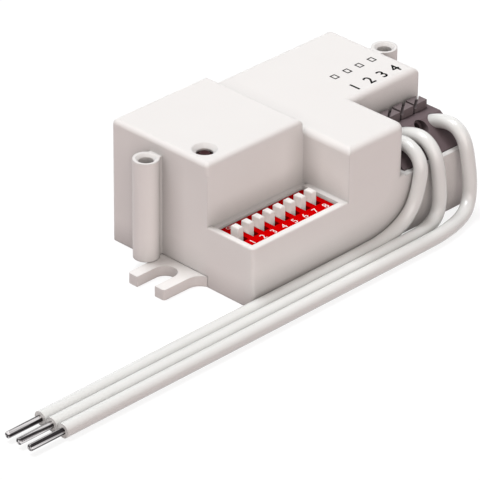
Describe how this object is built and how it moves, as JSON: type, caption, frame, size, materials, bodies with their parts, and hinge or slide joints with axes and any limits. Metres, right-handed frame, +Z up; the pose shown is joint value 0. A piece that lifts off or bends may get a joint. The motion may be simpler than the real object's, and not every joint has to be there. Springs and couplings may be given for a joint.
{
  "type": "microwave motion sensor",
  "caption": "Built-in microwave motion sensor: stepped white housing with screw bosses and fork feet, slide switch bank, push-in terminal with wires.",
  "frame": {"origin": "middle of the housing's footprint, at the underside of the base plate", "axes": "+X along the housing's length towards the terminal end, +Y to the back away from the switch bank, +Z up through the top"},
  "size_m": [0.1205, 0.0422, 0.0237],
  "materials": {
    "housing_white": "satin injection moulding, fine soft grain",
    "base_white": "satin injection moulding",
    "board_green": "solder mask over glass epoxy",
    "switch_black": "moulded switch base",
    "switch_red": "bright moulded lid with printed white numbers",
    "slider_white": "moulded switch peg",
    "terminal_grey": "warm dark grey polyamide moulding",
    "button_grey": "warm grey polyamide moulding",
    "contact_brass": "tinned stamped strip",
    "spring_steel": "stamped stainless leaf",
    "wire_white": "smooth extruded insulation",
    "tinned_copper": "tinned solid copper conductor with cut end",
    "tinned_metal": "tinned sheet and pins",
    "relay_black": "sealed case",
    "film_yellow": "moulded box case",
    "can_sleeve": "shrink sleeve over an aluminium can",
    "ferrite_grey": "ferrite drum",
    "fuse_black": "moulded round case",
    "varistor_blue": "epoxy dip",
    "chip_black": "moulded package with tinned leads",
    "radar_green": "high frequency laminate",
    "gold_copper": "gold plated copper patches",
    "header_black": "moulded collars with plated pins",
    "spacer_white": "moulded tube",
    "lens_red": "dark red tinted lens"
  },
  "bodies": {
    "sensor_body": {"antenna_patches": "gold_copper", "base_plate": "base_white", "choke": "ferrite_grey", "conductor_1": "tinned_copper", "conductor_2": "tinned_copper", "conductor_3": "tinned_copper", "controller": "chip_black", "daylight_sensor": "lens_red", "film_capacitor": "film_yellow", "fuse": "fuse_black", "housing_shell": "housing_white", "main_board": "board_green", "main_capacitor": "can_sleeve", "radar_board": "radar_green", "radar_header": "header_black", "radar_shield": "tinned_metal", "radar_spacers": "spacer_white", "rectifier": "chip_black", "regulator": "chip_black", "relay": "relay_black", "small_capacitor": "can_sleeve", "switch_base": "switch_black", "switch_lid": "switch_red", "switch_pins": "tinned_metal", "terminal_body": "terminal_grey", "terminal_contacts": "contact_brass", "terminal_springs": "spring_steel", "varistor": "varistor_blue", "wire_1": "wire_white", "wire_2": "wire_white", "wire_3": "wire_white"},
    "slider_1": {"switch_slider_1": "slider_white"},
    "slider_2": {"switch_slider_2": "slider_white"},
    "slider_3": {"switch_slider_3": "slider_white"},
    "slider_4": {"switch_slider_4": "slider_white"},
    "slider_5": {"switch_slider_5": "slider_white"},
    "slider_6": {"switch_slider_6": "slider_white"},
    "slider_7": {"switch_slider_7": "slider_white"},
    "slider_8": {"switch_slider_8": "slider_white"},
    "button_1": {"terminal_button_1": "button_grey"},
    "button_2": {"terminal_button_2": "button_grey"},
    "button_3": {"terminal_button_3": "button_grey"},
    "button_4": {"terminal_button_4": "button_grey"}
  },
  "joints": [
    {"name": "slider_1_slide", "type": "slide", "parent": "sensor_body", "child": "slider_1", "axis": [0, -1, 0], "range_m": [0, 0.00105]},
    {"name": "slider_2_slide", "type": "slide", "parent": "sensor_body", "child": "slider_2", "axis": [0, -1, 0], "range_m": [0, 0.00105]},
    {"name": "slider_3_slide", "type": "slide", "parent": "sensor_body", "child": "slider_3", "axis": [0, -1, 0], "range_m": [0, 0.00105]},
    {"name": "slider_4_slide", "type": "slide", "parent": "sensor_body", "child": "slider_4", "axis": [0, -1, 0], "range_m": [0, 0.00105]},
    {"name": "slider_5_slide", "type": "slide", "parent": "sensor_body", "child": "slider_5", "axis": [0, -1, 0], "range_m": [0, 0.00105]},
    {"name": "slider_6_slide", "type": "slide", "parent": "sensor_body", "child": "slider_6", "axis": [0, -1, 0], "range_m": [0, 0.00105]},
    {"name": "slider_7_slide", "type": "slide", "parent": "sensor_body", "child": "slider_7", "axis": [0, -1, 0], "range_m": [0, 0.00105]},
    {"name": "slider_8_slide", "type": "slide", "parent": "sensor_body", "child": "slider_8", "axis": [0, -1, 0], "range_m": [0, 0.00105]},
    {"name": "button_1_press", "type": "slide", "parent": "sensor_body", "child": "button_1", "axis": [0, 0, -1], "range_m": [0, 0.0007], "stiffness_N_per_m": 200, "springref_m": -0.0005},
    {"name": "button_2_press", "type": "slide", "parent": "sensor_body", "child": "button_2", "axis": [0, 0, -1], "range_m": [0, 0.0007], "stiffness_N_per_m": 200, "springref_m": -0.0005},
    {"name": "button_3_press", "type": "slide", "parent": "sensor_body", "child": "button_3", "axis": [0, 0, -1], "range_m": [0, 0.0007], "stiffness_N_per_m": 200, "springref_m": -0.0005},
    {"name": "button_4_press", "type": "slide", "parent": "sensor_body", "child": "button_4", "axis": [0, 0, -1], "range_m": [0, 0.0007], "stiffness_N_per_m": 200, "springref_m": -0.0005}
  ]
}
